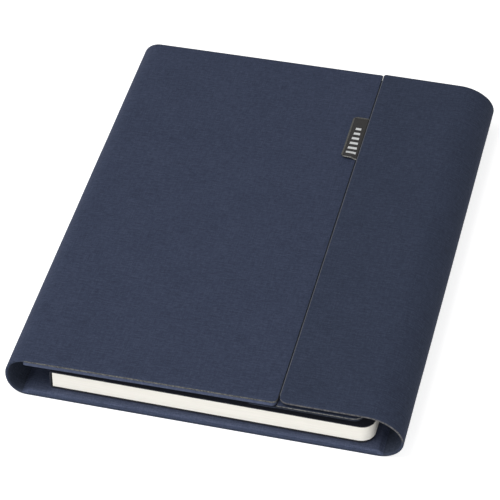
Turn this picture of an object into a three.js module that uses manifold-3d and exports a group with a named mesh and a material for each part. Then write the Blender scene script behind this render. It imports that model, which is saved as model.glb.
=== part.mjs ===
// Padfolio with a magnetic closing flap, holding a notebook. Lengths are in millimetres.
// X runs from the spine to the fore edge, Y from the near end to the far end, Z is up.
// The origin lies at the middle of the closed folder, on the surface that it rests on.

import * as THREE from 'three';
import { mergeVertices } from 'three/addons/utils/BufferGeometryUtils.js';
import Module from 'manifold-3d';

const wasm = await Module();
wasm.setup();

// Notebook: A5 pages in a thin soft cover
const pageWidth = 143.8;
const pageLength = 210;
const pageBlockThickness = 8.15;
const pageCornerRadius = 6.5;
const notebookTurn = -0.34;
const notebookCoverThickness = 0.5;
const notebookSpineRadius = 1.3;
const notebookSpineHollow = 0.8;

// The folder is made round the notebook: how far it goes past the pages on each of the four sides
const nearOverhang = 3.6;
const farOverhang = 17.4;
const spineChannel = 19.7;
const foreEdgeChannel = 13.2;

// Heights of the closed folder: at the spine, at the edge of the front and over the flap
const spineHeight = 20.9;
const panelHeight = 22.2;
const flapHeight = 22.9;

// The two rolls: where they meet the flat panels, how high their widest line is, how square they are
const spineRollDepth = 9.4;
const spineRollSquareness = 2.12;
const spineWidestHeight = 10.8;
const gussetLowerDepth = 11.5;
const gussetLowerSquareness = 2.0;
const gussetUpperDepth = 17;
const gussetUpperSquareness = 1.9;
const gussetWidestHeight = 10.4;
const rollSteps = 14;

// Cover cloth and the panels
const sheetThickness = 1;
const liningThickness = 0.45;
const frontBoardThickness = 1.5;
const backBoardThickness = 1.2;
const boardInset = 1.5;
const panelEndInset = 0.2;
const panelCornerRadius = 2.5;
const layerGap = 0.1;
const seamGap = 0.3;

// Thin tongue that goes on from the stiff front, lower, under the flap
const tongueDrop = 2;
const tongueWidth = 38;
const tongueCornerRadius = 5;
const tongueTail = 12;

// Closing flap
const flapWidth = 55.4;
const flapEdgeGap = 0.5;
const flapLiningSetback = 1.5;
const flapCornerRadius = 3;
const hingeReach = 13.5;

// Closing magnets in the flap and steel keepers in the tongue
const magnetRadius = 7;
const magnetThickness = 0.6;
const keeperThickness = 0.5;
const magnetSpacing = 130;
const magnetSetback = 17;
const pocketClearance = 0.1;

// Label that is fixed under the free edge of the flap
const labelLength = 30.2;
const labelCentre = 63.9;
const labelReach = 7.8;
const labelTuck = 9;
const labelThickness = 0.3;
const labelClearance = 0.1;
const labelBendRadius = 0.3;
const labelCornerRadius = 2.4;

// Pockets and pen loop on the inner faces
const pocketSheet = 0.35;
const pocketRim = 0.8;
const pocketSlack = 0.15;
const notebookPocketWidth = 70;
const notebookPocketSetback = 30;
const documentPocketSideMargin = 7.6;
const documentPocketEndMargin = 17.5;
const documentPocketDepth = 0.3;
const penLoopRadius = 5.2;
const penLoopStrip = 0.8;
const penLoopLength = 16;
const penLoopFoot = 5;
const penLoopSetback = 2.8;
const penLoopSteps = 14;

const cornerSteps = 6;
const discSteps = 32;

// Places that follow from the driving dimensions
const notebookWidth = pageWidth + notebookSpineHollow + notebookCoverThickness;
const coverWidth = spineChannel + notebookWidth + foreEdgeChannel;
const coverLength = nearOverhang + pageLength + farOverhang;
const endY = coverLength / 2;
const sideX = coverWidth / 2;
const flapFreeEdge = sideX - flapWidth;
const panelEdgeX = flapFreeEdge - flapEdgeGap;
const tongueReach = panelEdgeX + tongueWidth;
const spineTangentX = spineRollDepth - sideX;
const gussetLowerX = sideX - gussetLowerDepth;
const gussetUpperX = sideX - gussetUpperDepth;
const panelSlope = (panelHeight - spineHeight) / (panelEdgeX - spineTangentX);
const tongueHeight = panelHeight - tongueDrop;
const flapUnderside = flapHeight - sheetThickness - liningThickness;
const backTop = sheetThickness + backBoardThickness + layerGap + liningThickness;
const flapTurnX = gussetLowerX + hingeReach;
const flapTurnZ = flapHeight / 2;

const cloth = { color: 0x3a4153, roughness: 0.85, metalness: 0 };
const innerCloth = { color: 0x2a2e39, roughness: 0.9, metalness: 0 };
const cardboard = { color: 0x8a8276, roughness: 0.95, metalness: 0 };
const steel = { color: 0xb8bbc0, roughness: 0.4, metalness: 1 };
const blackRubber = { color: 0x17181b, roughness: 0.6, metalness: 0 };
const paper = { color: 0xf6f3ea, roughness: 0.9, metalness: 0 };
const darkCard = { color: 0x1d2027, roughness: 0.7, metalness: 0 };
const elastic = { color: 0x20242e, roughness: 0.9, metalness: 0 };

const padfolio = new THREE.Group();
const flap = new THREE.Group();
const notebook = new THREE.Group();
padfolio.add(flap);
padfolio.add(notebook);

// Add a named piece with its own material to a group.
function addPiece(group, name, geometry, look) {
  const mesh = new THREE.Mesh(geometry, new THREE.MeshStandardMaterial(look));
  mesh.name = name;
  group.add(mesh);
  return mesh;
}

// Closed geometry with shared corners as a solid that can be cut and joined.
function toSolid(geometry) {
  const bare = geometry.index ? geometry.toNonIndexed() : geometry.clone();
  bare.deleteAttribute('normal');
  bare.deleteAttribute('uv');
  const merged = mergeVertices(bare, 1e-4);
  const vertProperties = new Float32Array(merged.attributes.position.array);
  const triVerts = new Uint32Array(merged.index.array);
  return new wasm.Manifold(new wasm.Mesh({ numProp: 3, vertProperties, triVerts }));
}

function toGeometry(solid) {
  const mesh = solid.getMesh();
  const geometry = new THREE.BufferGeometry();
  geometry.setAttribute('position', new THREE.BufferAttribute(mesh.vertProperties, 3));
  geometry.setIndex(new THREE.BufferAttribute(mesh.triVerts, 1));
  geometry.computeVertexNormals();
  return geometry;
}

// Take a list of cutting geometries out of a geometry.
function cut(geometry, cutters) {
  const solid = cutters.reduce((left, cutter) => left.subtract(toSolid(cutter)), toSolid(geometry));
  return toGeometry(solid);
}

// Outline in plan: a rectangle with its own radius at the left and the right corners.
function planOutline({ left, right, near, far, leftRadius = 0, rightRadius = 0 }) {
  const outline = new THREE.Shape();
  outline.moveTo(left + leftRadius, near);
  outline.lineTo(right - rightRadius, near);
  if (rightRadius) outline.absarc(right - rightRadius, near + rightRadius, rightRadius, -Math.PI / 2, 0);
  outline.lineTo(right, far - rightRadius);
  if (rightRadius) outline.absarc(right - rightRadius, far - rightRadius, rightRadius, 0, Math.PI / 2);
  outline.lineTo(left + leftRadius, far);
  if (leftRadius) outline.absarc(left + leftRadius, far - leftRadius, leftRadius, Math.PI / 2, Math.PI);
  outline.lineTo(left, near + leftRadius);
  if (leftRadius) outline.absarc(left + leftRadius, near + leftRadius, leftRadius, Math.PI, 1.5 * Math.PI);
  outline.closePath();
  return outline;
}

// Flat layer between two heights, from an outline in plan.
function layer(outline, bottom, top) {
  const options = { depth: top - bottom, bevelEnabled: false, curveSegments: cornerSteps };
  return new THREE.ExtrudeGeometry(outline, options).translate(0, 0, bottom);
}

// Lean a layer with the front panel: heights grow with X by the slope of the panel, and are
// given for the edge of the panel beside the flap.
function leanWithPanel(geometry) {
  const position = geometry.attributes.position;
  for (let i = 0; i < position.count; i += 1) {
    const rise = (position.getX(i) - panelEdgeX) * panelSlope;
    position.setZ(i, position.getZ(i) + rise);
  }
  geometry.computeVertexNormals();
  return geometry;
}

// Quarter of a superellipse in the X-Z plane, from one angle to another.
// |x / depth| ^ squareness + |z / height| ^ squareness = 1 about the centre.
function rollArc({ x, z, depth, height, squareness, from, to }) {
  const power = 2 / squareness;
  return Array.from({ length: rollSteps + 1 }, (_, i) => {
    const angle = from + ((to - from) * i) / rollSteps;
    const c = Math.cos(angle);
    const s = Math.sin(angle);
    return new THREE.Vector2(
      x + depth * Math.sign(c) * Math.abs(c) ** power,
      z + height * Math.sign(s) * Math.abs(s) ** power,
    );
  });
}

// Closed outline of a strip: one face is the line, the other lies to its left at the thickness.
function strip(line, thickness) {
  const points = line.filter((point, i) => i === 0 || point.distanceTo(line[i - 1]) > 1e-3);
  const inner = points.map((point, i) => {
    const before = points[Math.max(i - 1, 0)];
    const after = points[Math.min(i + 1, points.length - 1)];
    const along = after.clone().sub(before).normalize();
    return new THREE.Vector2(point.x - along.y * thickness, point.y + along.x * thickness);
  });
  return new THREE.Shape([...points, ...inner.reverse()]);
}

// Carry a section in the X-Z plane along Y, between two places.
function alongY(section, near, far) {
  const options = { depth: far - near, bevelEnabled: false, curveSegments: cornerSteps };
  const geometry = new THREE.ExtrudeGeometry(section, options);
  return geometry.rotateX(Math.PI / 2).translate(0, far, 0);
}

// What a rounded corner takes away: a square less a quarter disc, as tall as asked.
// The two signs say towards which side the corner points.
function cornerWaste({ x, y, radius, signX, signY, bottom, top }) {
  const over = 1;
  const centreX = x - signX * radius;
  const centreY = y - signY * radius;
  const waste = new THREE.Shape();
  const arc = Array.from({ length: cornerSteps + 1 }, (_, i) => {
    const angle = (Math.PI / 2) * (i / cornerSteps);
    return new THREE.Vector2(
      centreX + signX * radius * Math.cos(angle),
      centreY + signY * radius * Math.sin(angle),
    );
  });
  waste.moveTo(arc[0].x, arc[0].y);
  arc.slice(1).forEach((point) => waste.lineTo(point.x, point.y));
  waste.lineTo(centreX, y + signY * over);
  waste.lineTo(x + signX * over, y + signY * over);
  waste.lineTo(x + signX * over, centreY);
  waste.closePath();
  return layer(waste, bottom, top);
}

function disc(radius, x, y, bottom, top) {
  const geometry = new THREE.CylinderGeometry(radius, radius, top - bottom, discSteps);
  return geometry.rotateX(Math.PI / 2).translate(x, y, (bottom + top) / 2);
}

// Cover cloth: one sheet from the edge of the front, round the spine and along the back
const spineRoll = { x: spineTangentX, depth: spineRollDepth, squareness: spineRollSquareness };
const coverLine = [
  new THREE.Vector2(panelEdgeX, panelHeight),
  ...rollArc({
    ...spineRoll,
    z: spineWidestHeight,
    height: spineHeight - spineWidestHeight,
    from: Math.PI / 2,
    to: Math.PI,
  }),
  ...rollArc({
    ...spineRoll,
    z: spineWidestHeight,
    height: spineWidestHeight,
    from: Math.PI,
    to: 1.5 * Math.PI,
  }),
  new THREE.Vector2(gussetLowerX, 0),
];
const panelCorners = [-1, 1].map((signY) => cornerWaste({
  x: panelEdgeX,
  y: signY * endY,
  radius: panelCornerRadius,
  signX: 1,
  signY,
  bottom: tongueHeight,
  top: flapHeight,
}));
const coverBody = alongY(strip(coverLine, sheetThickness), -endY, endY);
addPiece(padfolio, 'cover_sheet', cut(coverBody, panelCorners), cloth);

// Soft fore edge: the same cloth goes on without a board, so it can bend when the flap opens
const gussetLine = [
  ...rollArc({
    x: gussetLowerX,
    z: gussetWidestHeight,
    depth: gussetLowerDepth,
    height: gussetWidestHeight,
    squareness: gussetLowerSquareness,
    from: -Math.PI / 2,
    to: 0,
  }),
  ...rollArc({
    x: gussetUpperX,
    z: gussetWidestHeight,
    depth: gussetUpperDepth,
    height: flapHeight - gussetWidestHeight,
    squareness: gussetUpperSquareness,
    from: 0,
    to: Math.PI / 2,
  }),
];
gussetLine[0].x += seamGap;
addPiece(padfolio, 'fore_edge_gusset', alongY(strip(gussetLine, sheetThickness), -endY, endY), cloth);

// Stiff part of the front: a board in a shallow tray of turned lining, under the cover cloth
const panelLeft = spineTangentX + panelCornerRadius;
const panelRight = panelEdgeX - panelEndInset;
const frontTrayTop = panelHeight - sheetThickness - layerGap;
const frontTrayFloor = frontTrayTop - frontBoardThickness - layerGap;
const frontTrayBottom = frontTrayFloor - liningThickness;
const frontTrayOutline = planOutline({
  left: panelLeft,
  right: panelRight,
  near: panelEndInset - endY,
  far: endY - panelEndInset,
  leftRadius: panelCornerRadius,
  rightRadius: panelCornerRadius,
});
const frontBoardOutline = (grow) => planOutline({
  left: panelLeft + boardInset - grow,
  right: panelRight - boardInset + grow,
  near: panelEndInset + boardInset - endY - grow,
  far: endY - panelEndInset - boardInset + grow,
});
const frontTray = layer(frontTrayOutline, frontTrayBottom, frontTrayTop);
const frontTrayRoom = layer(frontBoardOutline(pocketClearance), frontTrayFloor, panelHeight);
addPiece(padfolio, 'front_lining', leanWithPanel(cut(frontTray, [frontTrayRoom])), innerCloth);
const frontBoard = layer(
  frontBoardOutline(0),
  frontTrayTop - frontBoardThickness,
  frontTrayTop,
);
addPiece(padfolio, 'front_board', leanWithPanel(frontBoard), cardboard);

// Tongue: a thin sheet beside the stiff front, with two steel keepers let in from below
const tongueBottom = tongueHeight - sheetThickness;
const tongueOutline = (left) => planOutline({
  left,
  right: tongueReach,
  near: -endY,
  far: endY,
  rightRadius: tongueCornerRadius,
});
const closureX = flapFreeEdge + magnetSetback;
const closurePlaces = { near: -magnetSpacing / 2, far: magnetSpacing / 2 };
const keeperPockets = Object.values(closurePlaces).map((y) => disc(
  magnetRadius + pocketClearance,
  closureX,
  y,
  tongueBottom - pocketClearance,
  tongueBottom + keeperThickness + pocketClearance,
));
const tongueBody = layer(tongueOutline(panelRight + seamGap), tongueBottom, tongueHeight);
addPiece(padfolio, 'tongue_sheet', cut(tongueBody, keeperPockets), cloth);
Object.entries(closurePlaces).forEach(([end, y]) => {
  const keeper = disc(magnetRadius, closureX, y, tongueBottom, tongueBottom + keeperThickness);
  addPiece(padfolio, `keeper_plate_${end}`, keeper, steel);
});

// Lining of the tongue: it closes the keepers in, and its tail is glued under the stiff front
const tailTop = frontTrayBottom - layerGap;
const tongueLiningLine = [
  new THREE.Vector2(tongueReach, tongueBottom),
  new THREE.Vector2(panelRight + seamGap, tongueBottom),
  new THREE.Vector2(panelRight, tailTop),
  new THREE.Vector2(panelRight - tongueTail, tailTop - tongueTail * panelSlope),
];
const tongueLiningCorners = [-1, 1].map((signY) => cornerWaste({
  x: tongueReach,
  y: signY * endY,
  radius: tongueCornerRadius,
  signX: 1,
  signY,
  bottom: 0,
  top: tongueHeight,
}));
const tongueLining = alongY(strip(tongueLiningLine, liningThickness), -endY, endY);
addPiece(padfolio, 'tongue_lining', cut(tongueLining, tongueLiningCorners), innerCloth);

// Stiff back: a board on the cover cloth, with the lining turned down round it
const backOutline = planOutline({
  left: spineTangentX,
  right: gussetLowerX,
  near: panelEndInset - endY,
  far: endY - panelEndInset,
  leftRadius: panelCornerRadius,
  rightRadius: panelCornerRadius,
});
const backBoardOutline = (grow) => planOutline({
  left: spineTangentX + boardInset - grow,
  right: gussetLowerX - boardInset + grow,
  near: panelEndInset + boardInset - endY - grow,
  far: endY - panelEndInset - boardInset + grow,
});
const backBoardTop = sheetThickness + backBoardThickness;
const backRoom = layer(backBoardOutline(pocketClearance), 0, backBoardTop + layerGap);
const backTray = layer(backOutline, sheetThickness, backTop);
addPiece(padfolio, 'back_lining', cut(backTray, [backRoom]), innerCloth);
addPiece(padfolio, 'back_board', layer(backBoardOutline(0), sheetThickness, backBoardTop), cardboard);

// Sheet pocket: a thin cover over a flat room, with a rim along each side that isn't open
function pocket({ left, right, near, far, bottom, room, open }) {
  const body = layer(planOutline({ left, right, near, far }), bottom, bottom + room + pocketSheet);
  const inset = (side) => (open.includes(side) ? -pocketRim : pocketRim);
  const inside = planOutline({
    left: left + inset('left'),
    right: right - inset('right'),
    near: near + inset('near'),
    far: far - inset('far'),
  });
  return { body, inside };
}

// Notebook, lying a little turned in the folder
const backCoverBottom = backTop + layerGap;
const pagesBottom = backCoverBottom + notebookCoverThickness + pocketSheet + 3 * layerGap;
const pagesTop = pagesBottom + pageBlockThickness;
const pageForeEdge = sideX - foreEdgeChannel;
const pageLeft = pageForeEdge - pageWidth;
const pageNear = nearOverhang - endY;
const pageFar = pageNear + pageLength;
const pageOutline = planOutline({
  left: pageLeft,
  right: pageForeEdge,
  near: pageNear,
  far: pageFar,
  rightRadius: pageCornerRadius,
});
addPiece(notebook, 'notebook_pages', layer(pageOutline, pagesBottom, pagesTop), paper);

const frontCoverTop = pagesTop + layerGap + notebookCoverThickness;
const spineOuterX = pageLeft - notebookSpineHollow - notebookCoverThickness;
const spineArc = (z, from) => Array.from({ length: cornerSteps + 1 }, (_, i) => {
  const angle = from + ((Math.PI / 2) * i) / cornerSteps;
  return new THREE.Vector2(
    spineOuterX + notebookSpineRadius + notebookSpineRadius * Math.cos(angle),
    z + notebookSpineRadius * Math.sin(angle),
  );
});
const notebookCoverLine = [
  new THREE.Vector2(pageForeEdge, frontCoverTop),
  ...spineArc(frontCoverTop - notebookSpineRadius, Math.PI / 2),
  ...spineArc(backCoverBottom + notebookSpineRadius, Math.PI),
  new THREE.Vector2(pageForeEdge, backCoverBottom),
];
const notebookWrap = alongY(strip(notebookCoverLine, notebookCoverThickness), pageNear, pageFar);
const notebookCorners = [[-1, pageNear], [1, pageFar]].map(([signY, y]) => cornerWaste({
  x: pageForeEdge,
  y,
  radius: pageCornerRadius,
  signX: 1,
  signY,
  bottom: 0,
  top: panelHeight,
}));
addPiece(notebook, 'notebook_cover', cut(notebookWrap, notebookCorners), darkCard);
notebook.rotation.z = THREE.MathUtils.degToRad(notebookTurn);

// Pocket on the back lining, over the back cover of the notebook. It is open towards the spine and
// at its near end, which is set back under the pages.
const turnShift = Math.abs(Math.sin(notebook.rotation.z)) * endY;
const notebookPocketRight = Math.min(pageForeEdge + turnShift + layerGap + pocketRim, gussetLowerX);
const notebookPocketParts = pocket({
  left: notebookPocketRight - notebookPocketWidth,
  right: notebookPocketRight,
  near: pageNear + notebookPocketSetback,
  far: pageFar + turnShift + pocketRim,
  bottom: backTop,
  room: notebookCoverThickness + 2 * layerGap,
  open: ['left', 'near'],
});
const notebookRoom = layer(
  notebookPocketParts.inside,
  0,
  backTop + notebookCoverThickness + 2 * layerGap,
);
addPiece(
  padfolio,
  'notebook_pocket',
  cut(notebookPocketParts.body, [notebookRoom]),
  innerCloth,
);

// Pocket for loose papers under the front lining, open towards the fore edge
const documentPocketTop = frontTrayBottom - layerGap;
const documentPocketBottom = documentPocketTop - documentPocketDepth - pocketSheet;
const documentPocketParts = pocket({
  left: panelLeft + documentPocketSideMargin,
  right: panelRight - tongueTail - seamGap,
  near: documentPocketEndMargin - endY,
  far: endY - documentPocketEndMargin,
  bottom: documentPocketBottom,
  room: documentPocketDepth,
  open: ['right'],
});
const documentRoom = layer(
  documentPocketParts.inside,
  documentPocketBottom + pocketSheet,
  documentPocketTop + pocketSlack,
);
const documentPocket = cut(documentPocketParts.body, [documentRoom]);
addPiece(padfolio, 'document_pocket', leanWithPanel(documentPocket), innerCloth);

// Pen loop: an elastic strip beside the spine of the notebook. It is folded round from its flat
// foot, and its end comes back down on the foot.
const penLoopOuter = penLoopRadius + penLoopStrip;
const penLoopX = spineTangentX + penLoopSetback;
const penLoopEnd = Math.acos(1 - (penLoopStrip + layerGap) / penLoopOuter);
const penLoopLine = [
  new THREE.Vector2(penLoopX + penLoopFoot, backTop),
  ...Array.from({ length: penLoopSteps + 1 }, (_, i) => {
    const angle = -Math.PI / 2 - (2 * Math.PI - penLoopEnd) * (i / penLoopSteps);
    return new THREE.Vector2(
      penLoopX + penLoopOuter * Math.cos(angle),
      backTop + penLoopOuter + penLoopOuter * Math.sin(angle),
    );
  }),
];
const penLoopSection = strip([...penLoopLine].reverse(), penLoopStrip);
addPiece(
  padfolio,
  'pen_loop',
  alongY(penLoopSection, -penLoopLength / 2, penLoopLength / 2),
  elastic,
);

// Flap: cover cloth with two magnets let in from below, closed by a thin lining
const flapSheetBottom = flapHeight - sheetThickness;
const flapOutline = (setback) => planOutline({
  left: flapFreeEdge + setback,
  right: gussetUpperX - seamGap,
  near: setback - endY,
  far: endY - setback,
  leftRadius: flapCornerRadius,
});
const magnetTop = flapSheetBottom + magnetThickness;
const magnetPockets = Object.values(closurePlaces).map((y) => disc(
  magnetRadius + pocketClearance,
  closureX,
  y,
  flapSheetBottom - pocketClearance,
  magnetTop + pocketClearance,
));
const flapBody = layer(flapOutline(0), flapSheetBottom, flapHeight);
addPiece(flap, 'flap_sheet', cut(flapBody, magnetPockets), cloth);
addPiece(
  flap,
  'flap_lining',
  layer(flapOutline(flapLiningSetback), flapUnderside, flapSheetBottom),
  innerCloth,
);
Object.entries(closurePlaces).forEach(([end, y]) => {
  addPiece(
    flap,
    `flap_magnet_${end}`,
    disc(magnetRadius, closureX, y, flapSheetBottom, magnetTop),
    steel,
  );
});

// Label: a soft strip under the free edge of the flap. It lies on the front, bends down into the
// gap beside the flap and bends level again under the flap. Its line is its underside.
const labelLeft = flapFreeEdge - labelReach;
const labelGapX = (panelEdgeX + flapFreeEdge) / 2;
const labelRestBottom = panelHeight + labelClearance;
const labelTuckBottom = flapUnderside - labelClearance - labelThickness;
const labelBend = ({ x, z, radius, from, to }) => {
  const arc = new THREE.Path().absarc(x, z, radius, from, to, from > to);
  return arc.getPoints(cornerSteps);
};
const labelLine = [
  new THREE.Vector2(labelLeft, labelRestBottom),
  ...labelBend({
    x: labelGapX - labelBendRadius,
    z: labelRestBottom + labelThickness / 2 - labelBendRadius,
    radius: labelBendRadius - labelThickness / 2,
    from: Math.PI / 2,
    to: 0,
  }),
  ...labelBend({
    x: labelGapX + labelBendRadius,
    z: labelTuckBottom + labelThickness / 2 + labelBendRadius,
    radius: labelBendRadius + labelThickness / 2,
    from: Math.PI,
    to: 1.5 * Math.PI,
  }),
  new THREE.Vector2(flapFreeEdge + labelTuck, labelTuckBottom),
];
const labelNear = labelCentre - labelLength / 2;
const labelFar = labelCentre + labelLength / 2;
const labelCorners = [[-1, labelNear], [1, labelFar]].map(([signY, y]) => cornerWaste({
  x: labelLeft,
  y,
  radius: labelCornerRadius,
  signX: -1,
  signY,
  bottom: tongueHeight,
  top: flapHeight + tongueDrop,
}));
const labelStrip = alongY(strip(labelLine, labelThickness), labelNear, labelFar);
addPiece(flap, 'label_tab', cut(labelStrip, labelCorners), blackRubber);

// The flap opens about a line beside its soft fore edge, half as high as the folder.
flap.userData = { turnX: flapTurnX, turnZ: flapTurnZ };

export default padfolio;
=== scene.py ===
# %% [markdown]
# A padfolio: one navy woven cloth is folded round a notebook, and a magnetic flap closes it.
# This lesson dresses the plain solids of the folder in Blender. The frame is loaded first, and
# every visible piece is then worked out as a surface and given a material; all but the cloth of the flap and
# fore edge are tied to their bodies.

# %% Load the frame and keep its box
import math

import bpy
import numpy as np
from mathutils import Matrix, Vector


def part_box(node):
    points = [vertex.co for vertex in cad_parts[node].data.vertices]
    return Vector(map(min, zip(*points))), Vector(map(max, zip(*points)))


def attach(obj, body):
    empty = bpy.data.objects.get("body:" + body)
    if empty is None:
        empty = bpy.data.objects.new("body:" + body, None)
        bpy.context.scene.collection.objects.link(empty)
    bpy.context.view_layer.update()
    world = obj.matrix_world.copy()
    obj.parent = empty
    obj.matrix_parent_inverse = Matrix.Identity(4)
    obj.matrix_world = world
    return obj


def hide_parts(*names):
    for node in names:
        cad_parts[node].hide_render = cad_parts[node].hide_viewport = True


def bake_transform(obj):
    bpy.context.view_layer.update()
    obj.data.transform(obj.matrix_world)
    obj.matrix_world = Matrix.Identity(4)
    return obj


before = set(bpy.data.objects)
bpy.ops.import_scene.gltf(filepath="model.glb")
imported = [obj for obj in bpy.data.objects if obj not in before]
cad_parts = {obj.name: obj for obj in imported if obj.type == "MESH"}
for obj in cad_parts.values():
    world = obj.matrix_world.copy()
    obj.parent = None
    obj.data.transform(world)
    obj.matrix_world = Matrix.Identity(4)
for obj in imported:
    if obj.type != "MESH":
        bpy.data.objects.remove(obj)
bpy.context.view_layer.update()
MM = 0.001


def solid_box(name):
    """Lowest and highest corner of one solid of the frame, in mm."""
    low, high = (np.array(corner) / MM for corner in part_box(name))
    return low, high


cover_low, cover_high = solid_box("cover_sheet")
flap_low, flap_high = solid_box("flap_sheet")
roll_high = solid_box("fore_edge_gusset")[1]
print("cover sheet, mm:", cover_low.round(2), cover_high.round(2))
print("flap sheet, mm:", flap_low.round(2), flap_high.round(2))

# %% [markdown]
# Sizes come from the frame where it has them, in millimetres. The few that it doesn't give, such
# as how square the rolled edges are, are driving values that repeat the design of the solids. The
# gap beside the flap is a tenth of a millimetre narrower than there, so that its dark line is as
# thin as in the photograph.

# %% Sizes of the folder
END_Y = cover_high[1]
SIDE_X = roll_high[0]
FLAP_EDGE = flap_low[0]
FLAP_HEIGHT = flap_high[2]
FLAP_GAP = 0.4
PANEL_HEIGHT = cover_high[2]
PANEL_EDGE = FLAP_EDGE - FLAP_GAP
SPINE_HEIGHT = 20.9
SPINE_DEPTH = 9.4
SPINE_SQUARENESS = 2.12
SPINE_WIDEST = 10.8
LOWER_DEPTH = 11.5
LOWER_SQUARENESS = 2.0
UPPER_DEPTH = 17.0
UPPER_SQUARENESS = 1.9
ROLL_WIDEST = 10.4
SHEET = 1.0
SPINE_TANGENT = SPINE_DEPTH - SIDE_X
LOWER_TANGENT = SIDE_X - LOWER_DEPTH
UPPER_TANGENT = SIDE_X - UPPER_DEPTH
PANEL_SLOPE = (PANEL_HEIGHT - SPINE_HEIGHT) / (PANEL_EDGE - SPINE_TANGENT)
print("folder length, width, mm:", 2 * END_Y, 2 * SIDE_X, "slope of the front:", round(PANEL_SLOPE, 4))

# %% [markdown]
# The camera stands where the photographer stood: in front, a little to the right, looking down
# at about 42 degrees through a long lens. A camera can be placed by eye, but here its turn,
# height and distance are known angles and lengths, so it is set from those.

# %% Camera
CAMERA_TURN = 13.59
CAMERA_DOWN = 42.28
CAMERA_DISTANCE = 1188.99
CAMERA_TARGET = (-6.31, -0.45, 0.0)
FOCAL_PIXELS = 2540.5
IMAGE_PIXELS = 500
SENSOR_WIDTH = 36.0

camera_data = bpy.data.cameras.new("photo_camera")
camera_data.sensor_width = SENSOR_WIDTH
camera_data.lens = FOCAL_PIXELS * SENSOR_WIDTH / IMAGE_PIXELS
camera_data.clip_start = 0.05
camera_data.clip_end = 20.0
camera = bpy.data.objects.new("photo_camera", camera_data)
bpy.context.scene.collection.objects.link(camera)
turn = math.radians(CAMERA_TURN)
down = math.radians(CAMERA_DOWN)
level = math.cos(down)
look = Vector((-math.sin(turn) * level, math.cos(turn) * level, -math.sin(down)))
camera.location = (Vector(CAMERA_TARGET) - look * CAMERA_DISTANCE) * MM
camera.rotation_euler = (math.pi / 2 - down, 0, turn)
bpy.context.scene.camera = camera
print("lens, mm:", round(camera_data.lens, 2), "place:", [round(v, 4) for v in camera.location])

# %% [markdown]
# Every new piece is a set of points worked out at once with numpy, and the faces between them. A
# plane could be cut and bent by hand instead, but a formula says how the piece is shaped. The UV
# map is written in millimetres on the cloth itself, so a weave keeps its size and its direction
# where the cloth is rolled.

# %% Points to surface
def surface(name, points, faces, uv=None, flat_faces=0):
    """A mesh from points in mm, one a row. Its last faces can be flat, and the others are smooth."""
    mesh = bpy.data.meshes.new(name)
    mesh.from_pydata((points * MM).tolist(), [], faces)
    if uv is not None:
        layer = mesh.uv_layers.new(name="cloth_mm")
        order = np.zeros(len(mesh.loops), int)
        mesh.loops.foreach_get("vertex_index", order)
        layer.data.foreach_set("uv", uv[order].ravel())
    mesh.polygons.foreach_set("use_smooth", np.arange(len(faces)) < len(faces) - flat_faces)
    mesh.update()
    piece = bpy.data.objects.new(name, mesh)
    bpy.context.scene.collection.objects.link(piece)
    return piece


def mesh_piece(name, grid, uv=None, closed=False):
    """A surface from a grid of points in mm: rows follow the section, columns go along the folder.

    Each face joins point (i, j) with (i + 1, j), (i + 1, j + 1) and (i, j + 1). A closed piece
    also joins its last row to the first, and its two ends are flat faces.
    """
    rows, columns = grid.shape[:2]
    row_count = rows if closed else rows - 1
    i, j = np.meshgrid(np.arange(row_count), np.arange(columns - 1), indexing="ij")
    this_row = i * columns
    next_row = (i + 1) % rows * columns
    corners = [this_row + j, next_row + j, next_row + j + 1, this_row + j + 1]
    faces = np.stack(corners, -1).reshape(-1, 4).tolist()
    if closed:
        near_end = [row * columns for row in range(rows)]
        faces += [near_end[::-1], [index + columns - 1 for index in near_end]]
    place = None if uv is None else uv.reshape(-1, 2)
    return surface(name, grid.reshape(-1, 3), faces, place, flat_faces=2 if closed else 0)


print("mesh helpers: surface and mesh_piece")

# %% [markdown]
# The rolled edges of the folder are flattened and not quite round. Arcs of a circle can't follow
# them, so each is part of a superellipse, with its own depth and one value for how square it is.

# %% Lines and turns
def roll_arc(centre_x, centre_z, depth, height, squareness, start, stop, count):
    """Part of a superellipse: |x / depth| ^ squareness + |z / height| ^ squareness = 1."""
    angle = np.linspace(start, stop, count)
    c, s = np.cos(angle), np.sin(angle)
    power = 2.0 / squareness
    x = centre_x + depth * np.sign(c) * np.abs(c) ** power
    z = centre_z + height * np.sign(s) * np.abs(s) ** power
    return np.stack([x, z], -1)


def even_line(line, spacing):
    """The same line with points at an even distance along it, and those distances."""
    length = np.concatenate([[0.0], np.cumsum(np.hypot(*np.diff(line, axis=0).T))])
    keep = np.concatenate([[True], np.diff(length) > 1e-6])
    wanted = np.linspace(0.0, length[-1], int(round(length[-1] / spacing)) + 1)
    return np.stack([np.interp(wanted, length[keep], line[keep, k]) for k in (0, 1)], -1), wanted


def smooth(part):
    """Smooth step: 3 t^2 - 2 t^3 of the part, held between 0 and 1."""
    t = np.clip(part, 0.0, 1.0)
    return t * t * (3.0 - 2.0 * t)


def turned(grid, angle):
    """Points turned about the upright axis: x cos a - y sin a, x sin a + y cos a, z."""
    c, s = math.cos(angle), math.sin(angle)
    x, y = grid[..., 0], grid[..., 1]
    return np.stack([c * x - s * y, s * x + c * y, grid[..., 2]], -1)


print("a quarter of a roll, mm:", roll_arc(0, 0, 10, 10, 2.1, 0, math.pi / 2, 3).round(2).tolist())

# %% [markdown]
# A material is a small graph of nodes. One function adds a node with its settings and its links,
# and colours are written as the hex values that a picture editor shows, then turned linear.

# %% Node helper and colours
def linear(hex_colour):
    """sRGB hex to linear RGBA: each channel c becomes ((c + 0.055) / 1.055) ^ 2.4, or c / 12.92."""
    value = np.array([int(hex_colour[i:i + 2], 16) for i in (1, 3, 5)]) / 255.0
    low = value / 12.92
    high = ((value + 0.055) / 1.055) ** 2.4
    return (*np.where(value <= 0.04045, low, high).tolist(), 1.0)


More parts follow.
